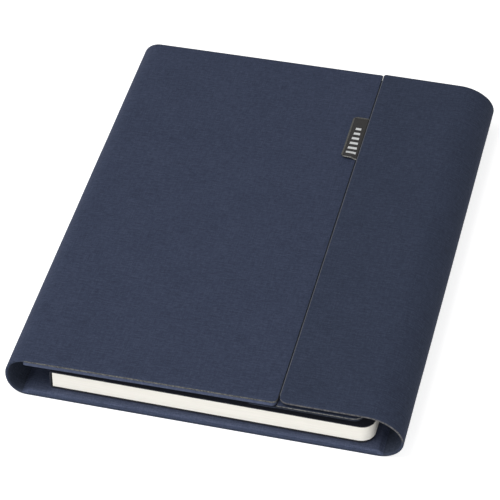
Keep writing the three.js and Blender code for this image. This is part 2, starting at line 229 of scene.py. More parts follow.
def node(tree, kind, inputs=None, **settings):
    """Add a node; inputs maps a socket's name or number to a value or to another node's socket."""
    made = tree.nodes.new(kind)
    for key, value in settings.items():
        setattr(made, key, value)
    for key, value in (inputs or {}).items():
        if isinstance(value, bpy.types.NodeSocket):
            tree.links.new(value, made.inputs[key])
        else:
            made.inputs[key].default_value = value
    return made


def new_material(name):
    """An empty node material with its output; returns the material, its tree and the output."""
    material = bpy.data.materials.new(name)
    material.use_nodes = True
    tree = material.node_tree
    tree.nodes.clear()
    return material, tree, tree.nodes.new("ShaderNodeOutputMaterial")


print("navy as a linear colour:", [round(v, 3) for v in linear("#384056")])

# %% [markdown]
# The same few steps return in every material: a sum or a comparison, a noise with a real size, a
# scale of colours, and the shader itself. Each has its own small function, so that a material
# below reads as a list of what is seen on the real thing.

# %% Steps that the materials share
def maths(tree, operation, first, second=0.0):
    """One sum or comparison of two values or sockets."""
    return node(tree, "ShaderNodeMath", {0: first, 1: second}, operation=operation).outputs[0]


def below(tree, value, limit):
    """1 where the value is less than the limit, else 0."""
    return maths(tree, "LESS_THAN", value, limit)


def noise(tree, place, size, detail):
    """Seamless noise whose blotches have the given size, (x, y, z) in the unit of the place."""
    scaled = node(tree, "ShaderNodeMapping", {"Vector": place, "Scale": [1 / s for s in size]})
    inputs = {"Vector": scaled.outputs[0], "Scale": 1.0, "Detail": detail}
    return node(tree, "ShaderNodeTexNoise", inputs).outputs[0]


def ramp(tree, factor, low, high, *between):
    """Colour at the factor on a scale. Each stop is a place from 0 to 1 with its hex colour."""
    made = node(tree, "ShaderNodeValToRGB", {0: factor})
    stops = made.color_ramp.elements
    for index, (place, hex_colour) in enumerate((low, high)):
        stops[index].position = place
        stops[index].color = linear(hex_colour)
    for place, hex_colour in between:
        stops.new(place).color = linear(hex_colour)
    return made.outputs[0]


def mixed(tree, factor, first, second):
    """Colour that goes from the first to the second while the factor goes from 0 to 1."""
    return node(tree, "ShaderNodeMix", {0: factor, 6: first, 7: second}, data_type="RGBA").outputs[2]


def shade(tree, output, colour, roughness, specular, metallic=0.0, relief=None):
    """The shader; relief is a strength, a depth in mm and the socket that gives the height."""
    inputs = {"Base Color": colour, "Roughness": roughness, "Metallic": metallic,
              "Specular IOR Level": specular}
    if relief:
        strength, depth, height = relief
        bump = {"Strength": strength, "Distance": depth * MM, "Height": height}
        inputs["Normal"] = node(tree, "ShaderNodeBump", bump).outputs[0]
    shader = node(tree, "ShaderNodeBsdfPrincipled", inputs)
    tree.links.new(shader.outputs[0], output.inputs[0])


print("materials so far:", len(bpy.data.materials))

# %% [markdown]
# The cover is a plain weave of spun yarn, dyed navy: warp and weft pass over and under each
# other about every half millimetre. A picture of cloth could be wrapped on, but sine waves along
# the cloth's own two directions give the same weave at any distance, and noise that is stretched
# along each yarn gives the uneven, slightly mottled dye of spun yarn.

# %% Weave
YARN_PITCH = 0.56
SLUB_LENGTH = 7.0
WEFT_SHOWS = 0.2


def plain_weave(tree, across, along):
    """Height of a plain weave: sin(pi u / pitch) * sin(pi v / pitch), positive where weft is up."""
    wave_a = maths(tree, "SINE", maths(tree, "MULTIPLY", across, math.pi / YARN_PITCH))
    wave_b = maths(tree, "SINE", maths(tree, "MULTIPLY", along, math.pi / YARN_PITCH))
    return maths(tree, "MULTIPLY", wave_a, wave_b)


def spun_yarn(tree, uv, weave):
    """Tone of the yarn on top, from noise as wide as a yarn and as long as its slubs."""
    warp = noise(tree, uv, (YARN_PITCH, SLUB_LENGTH, 1.0), 3.0)
    weft = noise(tree, uv, (SLUB_LENGTH, YARN_PITCH, 1.0), 3.0)
    over = maths(tree, "MAXIMUM", maths(tree, "GREATER_THAN", weave, 0.0), WEFT_SHOWS)
    return node(tree, "ShaderNodeMix", {0: over, 2: warp, 3: weft}, data_type="FLOAT").outputs[0]


print("yarn pitch, mm:", YARN_PITCH, "slubs up to, mm:", SLUB_LENGTH)

# %% [markdown]
# Five cloths share that weave. The flap is cut from the same roll as the cover, and its cut edge is
# worn pale; its cloth and the fore edge of the same strip are drawn a little darker, as painted shade.
# The lining is palest over the two boards; its darker copy inside the rolls and its darkest one in the
# flap, under the tongue and in the pocket for papers are painted shade of those places. One material
# with five colours would need masks, so one function makes each cloth from its own three tones.

# %% Woven cloths
FLECK_SIZE = (1.6, 0.9, 1.0)
PATCH_SIZE = (20.0, 20.0, 1.0)
YARN_SHARE = 0.55
FLECK_SHARE = 0.35
PATCH_SHARE = 0.10
CROWN_SHARE = 0.10
CLOTH_BUMP = 0.09
WORN_EDGE = 0.45
WORN_LEAST = 0.4


def woven_cloth(name, dark, mid, light, roughness=0.86, wear_and_highlight=None):
    """Plain weave on the UV map in mm, mottled by its yarns, by flecks and by wide patches.

    Where u is below WORN_EDGE, the cloth shows the worn colour, if one is given.
    """
    material, tree, output = new_material(name)
    uv = node(tree, "ShaderNodeUVMap", uv_map="cloth_mm").outputs[0]
    split = node(tree, "ShaderNodeSeparateXYZ", {0: uv})
    across, along = split.outputs[0], split.outputs[1]
    weave = plain_weave(tree, across, along)
    crowns = maths(tree, "ABSOLUTE", weave)
    yarn = spun_yarn(tree, uv, weave)
    flecks = noise(tree, uv, FLECK_SIZE, 2.0)
    patches = noise(tree, uv, PATCH_SIZE, 3.0)
    tone = maths(tree, "MULTIPLY", yarn, YARN_SHARE)
    for layer, share in ((patches, PATCH_SHARE), (flecks, FLECK_SHARE), (crowns, CROWN_SHARE)):
        tone = maths(tree, "ADD", tone, maths(tree, "MULTIPLY", layer, share))
    colour = ramp(tree, tone, (0.38, dark), (0.70, light), (0.54, mid))
    if wear_and_highlight:
        at_edge = below(tree, across, WORN_EDGE)
        rub = maths(tree, "MULTIPLY", at_edge, maths(tree, "ADD", flecks, WORN_LEAST))
        colour = mixed(tree, rub, colour, linear(wear_and_highlight))
    height = maths(tree, "ADD", crowns, maths(tree, "ADD", yarn, flecks))
    shade(tree, output, colour, roughness, 0.2, relief=(0.5, CLOTH_BUMP, height))
    return material


cover_cloth = woven_cloth("navy_woven_polyester", "#2d3446", "#384056", "#474f65")
# The flap's tones are the cover's made a little darker: painted shade, on the flap and the fore edge alike.
flap_cloth_with_painted_shade = woven_cloth("navy_woven_polyester_of_the_flap_with_painted_shade", "#2a3142", "#343c50", "#424a5f",
                         wear_and_highlight="#5e6168")
# Darker copy of the lining inside the rolls: painted shade.
roll_lining_painted_shade = woven_cloth("navy_lining_of_the_rolls_with_painted_shade", "#2f3543", "#3b4252", "#4b5264", 0.9)
lining_cloth = woven_cloth("navy_lining_twill", "#3a4257", "#485067", "#5a6179", 0.9)
# Darkest copy of the lining under the flap and the tongue and in the paper pocket: painted shade.
lining_with_painted_shade = woven_cloth("navy_lining_twill_with_painted_shade", "#1d2029", "#272c38", "#333948", 0.9)
print("cloth materials:", len(bpy.data.materials))

# %% [markdown]
# Paper, card, rubber, elastic and metal are each one colour with a fine grain. A picture would do,
# but noise on the object's own coordinates has a real size in millimetres and no seams, and it
# drives the colour, and the relief where the surface has one.

# %% Paper, card, rubber and metal
def grainy(name, dark, light, grain, roughness, bump=0.0, metallic=0.0, stretch=(1.0, 1.0, 1.0),
           specular=0.3):
    """A solid with fine grain of the given size in mm, from noise on object coordinates."""
    material, tree, output = new_material(name)
    place = node(tree, "ShaderNodeTexCoord").outputs["Object"]
    speckle = noise(tree, place, [grain * MM / s for s in stretch], 3.0)
    colour = ramp(tree, speckle, (0.32, dark), (0.68, light))
    relief = (0.6, bump, speckle) if bump else None
    shade(tree, output, colour, roughness, specular, metallic, relief)
    return material


PAGE_LINES = (0.02, 0.02, 1.0)
page_edges = grainy("uncoated_paper_edges", "#f1eee5", "#f7f4ec", 0.35, 0.85, bump=0.02,
                    stretch=PAGE_LINES, specular=0.1)
page_face = grainy("uncoated_paper", "#f3f0e6", "#f8f5ec", 1.2, 0.85, specular=0.1)
dark_card = grainy("soft_touch_card", "#1b1d26", "#252833", 0.8, 0.7, bump=0.01)
black_rubber = grainy("moulded_black_rubber", "#0e0d0d", "#181717", 0.5, 0.6, bump=0.01)
plated_steel = grainy("nickel_plated_steel", "#aaaeb4", "#c0c3c8", 0.5, 0.35, metallic=1.0)
woven_elastic = grainy("woven_elastic", "#171a21", "#22262f", 0.4, 0.9, bump=0.05, stretch=(1, 0.3, 1))
print("materials made:", len(bpy.data.materials))

# %% [markdown]
# Where the laminated cloth is cut, its raw edge shows: pale fibres and glue between navy threads.
# On the stiff panels the edge is bare and reads as an uneven grey-tan line. Round the rolls the
# cloth is stretched over its own edge and stays navy. The line could be a piece of its own, but
# the UV map already says how far along the section each point lies, so one material does both.

# %% Raw edge of the cloth
EDGE_FADE = 2.5
EDGE_BUMP = 0.06
EDGE_DYE = ("#2a303e", "#394155")
TUFT = 0.9
BEYOND = 10.0


def raw_edge(name, first, last, fibres):
    """Cut edge: fibre colours where u, in mm along the section, lies between first and last."""
    material, tree, output = new_material(name)
    uv = node(tree, "ShaderNodeUVMap", uv_map="cloth_mm").outputs[0]
    u = node(tree, "ShaderNodeSeparateXYZ", {0: uv}).outputs[0]
    begins = maths(tree, "DIVIDE", maths(tree, "SUBTRACT", u, first), EDGE_FADE)
    ends = maths(tree, "DIVIDE", maths(tree, "SUBTRACT", last, u), EDGE_FADE)
    nearest = maths(tree, "MINIMUM", begins, ends)
    bare = node(tree, "ShaderNodeMapRange", {0: nearest, 1: -0.5, 2: 0.5},
                interpolation_type="SMOOTHSTEP").outputs[0]
    place = node(tree, "ShaderNodeTexCoord").outputs["Object"]
    tuft = noise(tree, place, [TUFT * MM] * 3, 4.0)
    dyed, fluffy = (ramp(tree, tuft, (0.35, dark), (0.68, light)) for dark, light in (EDGE_DYE, fibres))
    shade(tree, output, mixed(tree, bare, dyed, fluffy), 0.95, 0.15, relief=(0.6, EDGE_BUMP, tuft))
    return material


print("a raw edge fades from bare to dyed over, mm:", EDGE_FADE)

# %% [markdown]
# The cover cloth is one sheet that goes from the free edge of the front round the spine and on
# along the back. It could be cut from boxes and cylinders, but one line carried along the folder
# is how the real one is made: a strip of cloth has a single section. Solidify gives it its
# thickness, with the raw edge as its rim, and a small bevel keeps that rim from being knife-sharp.

# %% Strip of cloth from its section
POINT_SPACING = 0.8
COLUMN_SPACING = 2.2
UNEVENNESS = 0.03
CALM_EDGE = 6.0
QUARTER = math.pi / 2


def corner_reach(distance, radius):
    """How far a rounded corner pulls the end in, at a distance from the edge that it rounds."""
    inside = np.clip(radius - distance, 0.0, radius)
    return radius - np.sqrt(radius ** 2 - inside ** 2)


def hand_made(run, y):
    """Slight unevenness of glued cloth, in mm: three long sine waves of different directions."""
    wave = np.sin(run / 13.0 + 0.7) * np.sin(y / 17.0) + np.sin(run / 29.0 - y / 23.0)
    return UNEVENNESS * (wave + np.sin(y / 9.0 + run / 31.0))


def cloth_strip(name, line, start_corners=(0.0, 0.0), end_corners=(0.0, 0.0), half_length=END_Y):
    """A cloth strip: the section line carried along Y, narrower where its corners are rounded.

    A pair of corners is the radius at the near end and that at the far end.
    """
    even, run = even_line(line, POINT_SPACING)
    near, far = (
        half_length - corner_reach(run, start) - corner_reach(run[-1] - run, stop)
        for start, stop in zip(start_corners, end_corners)
    )
    columns = int(2 * half_length / COLUMN_SPACING) + 2
    share = np.linspace(0.0, 1.0, columns)[None]
    y = far[:, None] * share - near[:, None] * (1 - share)
    along = np.gradient(even, axis=0)
    along = along / np.hypot(*along.T)[:, None]
    calm = smooth(run / CALM_EDGE) * smooth((run[-1] - run) / CALM_EDGE)
    swell = np.minimum(hand_made(run[:, None], y) * calm[:, None], 0.0)
    x = even[:, :1] - along[:, 1:] * swell
    z = even[:, 1:] + along[:, :1] * swell
    uv = np.stack([np.repeat(run[:, None], columns, 1), y], -1)
    return mesh_piece(name, np.stack([x, y, z], -1), uv), run[-1]


def thicken(piece, thickness, materials, edge=0.16):
    """Grow a strip inwards; the materials are those of its outside, inside and raw rim."""
    for material in materials:
        piece.data.materials.append(material)
    solid = piece.modifiers.new("thickness", "SOLIDIFY")
    solid.thickness = thickness * MM
    solid.offset = -1.0
    solid.use_even_offset = True
    solid.material_offset = 1
    solid.material_offset_rim = 2
    bevel = piece.modifiers.new("soft_edge", "BEVEL")
    bevel.width = edge * MM
    bevel.segments = 2
    bevel.limit_method = "ANGLE"
    bevel.angle_limit = math.radians(60)


print("unevenness of the cloth at one place, mm:", round(float(hand_made(np.array(20.0), np.array(0.0))), 3))

# %% [markdown]
# The section of the cover starts at the fore edge of the back, so that the outside of the cloth is
# its upper side in the mesh. Its last stretch, over the stiff front, has the bare raw edge. The
# cloth is drawn as one line and not as three panels, because no seam shows at the spine.

# %% Cover cloth
PANEL_CORNER = 2.5
PANEL_CORNER_FAR = 0.5
cover_line = np.concatenate([
    [[LOWER_TANGENT, 0.0]],
    roll_arc(SPINE_TANGENT, SPINE_WIDEST, SPINE_DEPTH, SPINE_WIDEST,
             SPINE_SQUARENESS, 3 * QUARTER, 2 * QUARTER, 40),
    roll_arc(SPINE_TANGENT, SPINE_WIDEST, SPINE_DEPTH, SPINE_HEIGHT - SPINE_WIDEST,
             SPINE_SQUARENESS, 2 * QUARTER, QUARTER, 40),
    [[PANEL_EDGE, PANEL_HEIGHT]],
])
cover_piece, cover_run = cloth_strip(
    "cover_cloth", cover_line, end_corners=(PANEL_CORNER, PANEL_CORNER_FAR))
front_start = cover_run - (PANEL_EDGE - SPINE_TANGENT)
front_edge = raw_edge("raw_edge_of_the_front", front_start, cover_run + BEYOND, ("#3f4145", "#70706c"))
thicken(cover_piece, SHEET, [cover_cloth, roll_lining_painted_shade, front_edge])
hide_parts("cover_sheet")
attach(cover_piece, "cover")
print("cover cloth, flat, mm:", round(cover_run, 1), "x", round(2 * END_Y, 1))

# %% [markdown]
# The flap and the soft fore edge are the same cloth again, carried on from the back. They are made
# as one strip, because no seam shows between them.
# The flap is well rounded at the near corner and only just at the far one, as in the photograph.

# %% Flap and fore edge cloth
FLAP_CORNER = 4.2
FLAP_CORNER_FAR = 1.2
BARE_PAST_TANGENT = 22.0
flap_line = np.concatenate([
    [[FLAP_EDGE, FLAP_HEIGHT]],
    roll_arc(UPPER_TANGENT, ROLL_WIDEST, UPPER_DEPTH, FLAP_HEIGHT - ROLL_WIDEST,
             UPPER_SQUARENESS, QUARTER, 0.0, 44),
    roll_arc(LOWER_TANGENT, ROLL_WIDEST, LOWER_DEPTH, ROLL_WIDEST,
             LOWER_SQUARENESS, 0.0, -QUARTER, 40),
])
flap_piece, flap_run = cloth_strip("flap_cloth_with_painted_shade", flap_line, start_corners=(FLAP_CORNER, FLAP_CORNER_FAR))
flap_bare = UPPER_TANGENT - FLAP_EDGE + BARE_PAST_TANGENT
flap_edge = raw_edge("raw_edge_of_the_flap", -BEYOND, flap_bare, ("#3f4046", "#6c6b6c"))
thicken(flap_piece, SHEET, [flap_cloth_with_painted_shade, roll_lining_painted_shade, flap_edge], edge=0.22)
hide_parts("flap_sheet", "fore_edge_gusset")
print("flap and fore edge cloth, flat length across, mm:", round(flap_run, 1))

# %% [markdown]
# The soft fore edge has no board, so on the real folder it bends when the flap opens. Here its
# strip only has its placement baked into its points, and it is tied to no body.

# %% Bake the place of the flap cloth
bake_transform(flap_piece)

# %% [markdown]
# Boards wrapped in lining, sheets of pages and linings are all flat bodies with rounded corners in
# plan and softly rounded rims. A box with a bevel would come close, but its sides can't carry the
# steps of the leaves. So one function stacks rings of an outline in plan, drawn in a little at the
# bottom and at the top along a quarter circle, and closes them by flat faces.

# %% Outline in plan and its rings
SHARPEST_CORNER = 0.02


def plan_outline(low, high, left_radius, right_radius, steps=8):
    """Rounded rectangle in plan, counter-clockwise, with a corner radius for each side."""
    (x0, y0), (x1, y1) = low, high
    corners = [
        (x1, y0, -1, right_radius),
        (x1, y1, 0, right_radius),
        (x0, y1, 1, left_radius),
        (x0, y0, 2, left_radius),
    ]
    parts = []
    for x, y, quarter, wanted in corners:
        radius = max(wanted, SHARPEST_CORNER)
        centre_x = x - radius if x == x1 else x + radius
        centre_y = y - radius if y == y1 else y + radius
        angle = np.linspace(quarter, quarter + 1, steps + 1) * QUARTER
        parts.append(np.stack([centre_x + radius * np.cos(angle), centre_y + radius * np.sin(angle)], -1))
    return np.concatenate(parts)


def resample(outline, spacing):
    """Closed outline with extra points on its long sides, none further apart than the spacing."""
    following = np.roll(outline, -1, axis=0)
    gaps = np.hypot(*(following - outline).T)
    counts = np.maximum(np.ceil(gaps / spacing).astype(int), 1)
    starts = np.repeat(np.arange(len(outline)), counts)
    part = np.concatenate([np.arange(n) / n for n in counts])[:, None]
    return outline[starts] * (1 - part) + following[starts] * part


def soft_rims(bottom, top, rim, side_rows):
    """Heights of the rings, and how far each is drawn in: rim * (1 - sin a) near both flat faces."""
    quarter = np.linspace(0.0, QUARTER, 4)
    insets = rim * (1 - np.sin(quarter))
    lift = rim * (1 - np.cos(quarter))
    sides = np.linspace(bottom + rim, top - rim, side_rows + 1)[1:-1]
    heights = np.concatenate([bottom + lift, sides, (top - lift)[::-1]])
    return heights, np.concatenate([insets, np.zeros(len(sides)), insets[::-1]])


print("rings of a plain slab:", len(soft_rims(0.0, 1.0, 0.2, 1)[0]))

# %% [markdown]
# A slab is drawn level first. It is then leaned, for what lies along the sloping front, or turned
# a little, for the notebook, which lies not quite straight in the folder.

# %% Flat body with soft rims
def soft_slab(name, low, high, bottom, top, left_radius=0.0, right_radius=0.0, rim=0.2, lean=0.0,
              turn=0.0, side_rows=1, side_shape=None, spacing=12.0):
    """Closed body: rings of the outline in plan, one above the other, between two flat faces."""
    heights, drawn = soft_rims(bottom, top, rim, side_rows)
    if side_shape is not None:
        drawn = drawn + side_shape((heights - bottom) / (top - bottom))
    outline = resample(plan_outline(low, high, left_radius, right_radius), spacing)
    centre = (np.array(low) + np.array(high)) / 2
    half = (np.array(high) - np.array(low)) / 2
    rings = centre + (outline - centre)[None] * (1 - drawn[:, None, None] / half)
    grid = np.concatenate([rings, np.repeat(heights[:, None, None], rings.shape[1], 1)], -1)
    grid[..., 2] += (grid[..., 0] - PANEL_EDGE) * lean
    points = turned(grid, turn).reshape(-1, 3)
    count = rings.shape[1]
    ring, j = np.meshgrid(np.arange(len(rings) - 1) * count, np.arange(count), indexing="ij")
    beside = (j + 1) % count
    sides = np.stack([ring + j, ring + beside, ring + count + beside, ring + count + j], -1)
    caps = [list(range(count))[::-1], list(range(len(points) - count, len(points)))]
    uv = np.stack([points[:, 0], points[:, 1] + points[:, 2]], -1)
    return surface(name, points, sides.reshape(-1, 4).tolist() + caps, uv, flat_faces=2)


def dress(piece, materials, slot, body, *replaced):
    """Give a body its material, or one for its flat faces and one for its sides, and tie it to its body; the
    slot is not used.
    """
    for material in materials:
        piece.data.materials.append(material)
    if len(materials) > 1:
        face_kind = np.ones(len(piece.data.polygons), int)
        face_kind[-2:] = 0
        piece.data.polygons.foreach_set("material_index", face_kind)
    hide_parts(*replaced)
    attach(piece, body)
    return piece


print("slabs lean with the front by, degrees:", round(math.degrees(math.atan(PANEL_SLOPE)), 2))

# %% [markdown]
# Front board in its lining: from below and from the near end it shows as a navy band, about
# two millimetres high, under the raw edge of the cover cloth. Its rims are soft, because the
# lining is turned round the board by hand and glued.

# %% Wrapped front board
WRAP_PAST_SPINE = 0.7
lining_low, lining_high = solid_box("front_lining")
wrap_depth = lining_high[2] - lining_low[2] - PANEL_SLOPE * (lining_high[0] - lining_low[0])
wrap_top = lining_high[2] + PANEL_SLOPE * (PANEL_EDGE - lining_high[0])
wrap_low = (SPINE_TANGENT - WRAP_PAST_SPINE, lining_low[1])
dress(
    soft_slab("front_lining_wrap", wrap_low, lining_high[:2], wrap_top - wrap_depth, wrap_top,
              0.5, PANEL_CORNER, rim=0.45, lean=PANEL_SLOPE),
    [lining_cloth], "lining_cloth", "cover", "front_lining", "front_board",
)
print("front board and its lining, mm:", round(wrap_depth, 2), "thick under", round(wrap_top, 2))

# %% [markdown]
# The tongue is a single thickness of cloth that goes on from the stiff front under the flap, with
# the keepers for the magnets in it. Its raw edge is the second grey line below the flap, bare all
# round, so one material does for its sides.

# %% Tongue
TONGUE_CORNER = 5.0
TONGUE_CLOTH = 0.65
ANYWHERE = 500.0
tongue_edge = raw_edge("raw_edge_of_the_tongue", -ANYWHERE, ANYWHERE, ("#45464b", "#7f7f7d"))


def cloth_slab(name, source, sides, thickness, held, rests_on, body="cover",
               materials=(lining_cloth,), **shape):
    """A flat sheet of cloth in the place of a solid of the frame; its flat size is printed."""
    low, high = solid_box(source)
    piece = soft_slab(name, low[:2], high[:2], high[2] - thickness, high[2], *sides, **shape)
    slot_name = "cover_cloth" if cover_cloth in materials else "lining_cloth"
    dress(piece, materials, slot_name, body, source)
    print(name, "flat, mm:", (high - low).round(1)[:2])


cloth_slab("tongue_cloth", "tongue_sheet", (0.0, TONGUE_CORNER), TONGUE_CLOTH, "laid",
           ["front_lining_wrap"], materials=(cover_cloth, tongue_edge), rim=0.12)

# %% [markdown]
# The lining of the tongue lies under it and runs on under the stiff front, where it is glued. It
# steps from one height to the other, so it is a strip with a section, as the cover is.

# %% Lining of the tongue
TONGUE_LINING = 0.45
STEP_WIDTH = 0.3
tail_low, tail_high = solid_box("tongue_lining")
step_x = solid_box("tongue_sheet")[0][0]
tail_line = np.array([
    [tail_low[0], tail_low[2]],
    [step_x - STEP_WIDTH, tail_low[2] + PANEL_SLOPE * (step_x - STEP_WIDTH - tail_low[0])],
    [step_x, tail_high[2] - TONGUE_LINING],
    [tail_high[0], tail_high[2] - TONGUE_LINING],
])
tail_piece, tail_run = cloth_strip(
    "tongue_lining_sheet", tail_line[::-1], start_corners=(TONGUE_CORNER, TONGUE_CORNER))
thicken(tail_piece, TONGUE_LINING, [lining_with_painted_shade, lining_with_painted_shade, lining_with_painted_shade], edge=0.1)
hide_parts("tongue_lining")
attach(tail_piece, "cover")
print("lining of the tongue, flat length across, mm:", round(tail_run, 1))

# %% [markdown]
# The back has a board too, wrapped in the cover's cloth and flush with the near edge. It ends where
# the rolls begin, so that they stay soft. Its lining is a piece of its own, because the two end at
# different places.

# %% Back board
BACK_LINING = 0.25
LINING_INSET = 0.1
LEFT_SLOPE = (SPINE_TANGENT - 2.2, SPINE_TANGENT + 0.8)
RIGHT_SLOPE = (LOWER_TANGENT + 0.1, LOWER_TANGENT + 2.7)
back_top = solid_box("back_lining")[1][2]
board_top = back_top - BACK_LINING
lining_end_y = END_Y - LINING_INSET
board_low = (LEFT_SLOPE[1], -lining_end_y)
board_high = (RIGHT_SLOPE[0], lining_end_y)
dress(
    soft_slab("back_board_wrap", board_low, board_high, SHEET, board_top, rim=0.12),
    [cover_cloth], "lining_cloth", "cover", "back_board",
)
print("back board, mm:", round(board_high[0] - board_low[0], 1), "wide, top at", round(board_top, 2))

# %% [markdown]
# The padded lining of the back runs over the board and slopes down at both sides into the rolls:
# the left slope catches the light as a pale stripe and the right one is a soft dark crease. A slab
# with square sides would show hard lines there, so the lining is a closed section whose top line
# has two smooth slopes.

# %% Section of the back lining
FEATHER = 0.1
CLEAR = 0.03


def roll_floor(x, tangent, depth, height, squareness):
    """Height of a roll's inner face beside its tangent: the superellipse drawn in by the cloth."""
    part = np.clip(np.abs(x - tangent) / (depth - SHEET), 0.0, 1.0)
    return height - (height - SHEET) * (1 - part ** squareness) ** (1 / squareness)


spine_roll = (SPINE_TANGENT, SPINE_DEPTH, SPINE_WIDEST, SPINE_SQUARENESS)
fore_roll = (LOWER_TANGENT, LOWER_DEPTH, ROLL_WIDEST, LOWER_SQUARENESS)
slope_part = np.linspace(0.0, 1.0, 17)
left_x = LEFT_SLOPE[0] + (LEFT_SLOPE[1] - LEFT_SLOPE[0]) * slope_part
right_x = RIGHT_SLOPE[0] + (RIGHT_SLOPE[1] - RIGHT_SLOPE[0]) * slope_part
left_floor = roll_floor(np.minimum(left_x, SPINE_TANGENT), *spine_roll) + CLEAR
right_floor = roll_floor(np.maximum(right_x, LOWER_TANGENT), *fore_roll) + CLEAR
left_top = left_floor + FEATHER + (back_top - left_floor - FEATHER) * smooth(slope_part)
right_top = back_top + (right_floor + FEATHER - back_top) * smooth(slope_part)
top_line = np.stack([np.concatenate([left_x, right_x]), np.concatenate([left_top, right_top])], -1)
bottom_line = np.stack([
    np.concatenate([left_x, left_x[-1:], right_x[:1], right_x]),
    np.concatenate([left_floor, [board_top], [board_top], right_floor]),
], -1)
section = np.concatenate([top_line, bottom_line[::-1]])
print("lining of the back, points of its section:", len(section))

# %% [markdown]
# The section is carried along the folder and closed at both ends. Its flat size is the run of its
# top line, because that is the sheet which is cut and glued on.

# %% Back lining
LINING_COLUMNS = 121
lining_y = np.linspace(-lining_end_y, lining_end_y, LINING_COLUMNS)
lining_grid = np.stack([
    np.repeat(section[:, :1], LINING_COLUMNS, 1),
    np.repeat(lining_y[None], len(section), 0),
    np.repeat(section[:, 1:], LINING_COLUMNS, 1),
], -1)
lining_piece = mesh_piece("back_lining_sheet", lining_grid, lining_grid[..., :2], closed=True)
dress(lining_piece, [lining_cloth], "lining_cloth", "cover", "back_lining")

# %% [markdown]
# The notebook is a block of about 96 sheets in a thin dark card. The leaves don't end in one
# plane: each gathering stands a hair proud of the next, which gives the block its fine lines. They
# could be painted on, but the side of the block is drawn in and out by a few hundredths of a
# millimetre, row by row, so that they catch the light.

# %% Notebook pages
NOTEBOOK_TURN = math.radians(-0.34)
PAGE_WIDTH = 143.8
PAGE_LENGTH = 210.0
PAGE_CORNER = 6.5
PAGE_END_INSET = 3.6
PAGE_FORE_EDGE = 75.8
GATHERINGS = 6
LEAF_LINES = 24
pages_low, pages_high = solid_box("notebook_pages")
page_near = PAGE_END_INSET - END_Y
page_low = (PAGE_FORE_EDGE - PAGE_WIDTH, page_near)
page_high = (PAGE_FORE_EDGE, page_near + PAGE_LENGTH)


def leaf_steps(part):
    """Inset of the block's side over its height: a wave for each gathering and a finer one."""
    gathering = 0.035 * np.abs(np.sin(np.pi * GATHERINGS * part)) ** 0.3
    leaves = 0.012 * np.sin(2 * np.pi * LEAF_LINES * part)
    return 0.05 - gathering - leaves


dress(
    soft_slab("page_block", page_low, page_high, pages_low[2], pages_high[2], 0.0, PAGE_CORNER,
              rim=0.1, turn=NOTEBOOK_TURN, side_rows=96, side_shape=leaf_steps, spacing=30.0),
    [page_face, page_edges], "page_paper", "cover", "notebook_pages",
)
print("page block, mm:", pages_low.round(2), pages_high.round(2))

# %% [markdown]
# The notebook's cover is one thin card folded round the pages, with a narrow hollow spine. It is
# made like the folder's own cover, from a section line that starts at the lower fore edge.

# %% Notebook cover
CARD = 0.5
CARD_COLUMNS = 24
SPINE_RADIUS = 1.3
SPINE_HOLLOW = 0.8
card_low, card_high = solid_box("notebook_cover")
spine_x = page_low[0] - SPINE_HOLLOW - CARD


def quarter_turn(centre_z, start):
    """A quarter circle of the notebook's spine, from the start angle on."""
    angle = np.linspace(start, start + QUARTER, 9)
    x = spine_x + SPINE_RADIUS + SPINE_RADIUS * np.cos(angle)
    return np.stack([x, centre_z + SPINE_RADIUS * np.sin(angle)], -1)


card_line = np.concatenate([
    [[PAGE_FORE_EDGE, card_high[2]]],
    quarter_turn(card_high[2] - SPINE_RADIUS, QUARTER),
    quarter_turn(card_low[2] + SPINE_RADIUS, 2 * QUARTER),
    [[PAGE_FORE_EDGE, card_low[2]]],
])
card_even, card_run = even_line(card_line[::-1], POINT_SPACING)
card_pull = corner_reach(card_run, PAGE_CORNER) + corner_reach(card_run[-1] - card_run, PAGE_CORNER)
share = np.linspace(0.0, 1.0, CARD_COLUMNS)[None]
card_y = (page_low[1] + card_pull)[:, None] * (1 - share) + (page_high[1] - card_pull)[:, None] * share
card_x = np.repeat(card_even[:, :1], CARD_COLUMNS, 1)
card_z = np.repeat(card_even[:, 1:], CARD_COLUMNS, 1)
card_piece = mesh_piece("notebook_card", turned(np.stack([card_x, card_y, card_z], -1), NOTEBOOK_TURN))
thicken(card_piece, CARD, [dark_card, dark_card, dark_card], edge=0.1)
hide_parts("notebook_cover")
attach(card_piece, "cover")
print("notebook card, mm:", card_low.round(2), card_high.round(2))

# %% [markdown]
# Inside are two flat pockets of lining cloth, one for the notebook's back cover and one for loose
# papers, and the lining of the flap. Each is a sheet with softly turned edges, laid on the face
# that it is sewn to. Only the one for papers leans, because it lies along the sloping front.

# %% Pockets and flap lining
POCKET_SHEET = 0.35
FLAP_LINING = 1.1
cloth_slab("notebook_pocket_sheet", "notebook_pocket", (0.0, 0.0), POCKET_SHEET, "stretched",
           [lining_piece], rim=0.15)
paper_low, paper_high = solid_box("document_pocket")
paper_top = paper_high[2] + PANEL_SLOPE * (PANEL_EDGE - paper_high[0])
paper_depth = paper_high[2] - paper_low[2] - PANEL_SLOPE * (paper_high[0] - paper_low[0])
paper_pocket = soft_slab("document_pocket_sheet", paper_low[:2], paper_high[:2], paper_top - paper_depth,
                         paper_top, rim=0.15, lean=PANEL_SLOPE)
dress(paper_pocket, [lining_with_painted_shade], "lining_cloth", "cover", "document_pocket")
cloth_slab("flap_lining_sheet", "flap_lining", (FLAP_CORNER, 0.0), FLAP_LINING, "stretched",
           [flap_piece], body="flap", materials=(lining_with_painted_shade,), rim=0.12)

# %% [markdown]
# The pen loop is a band of woven elastic, folded round and sewn down by its flat foot. A torus
# would be too even: its section is a line with a straight foot and a nearly full turn.

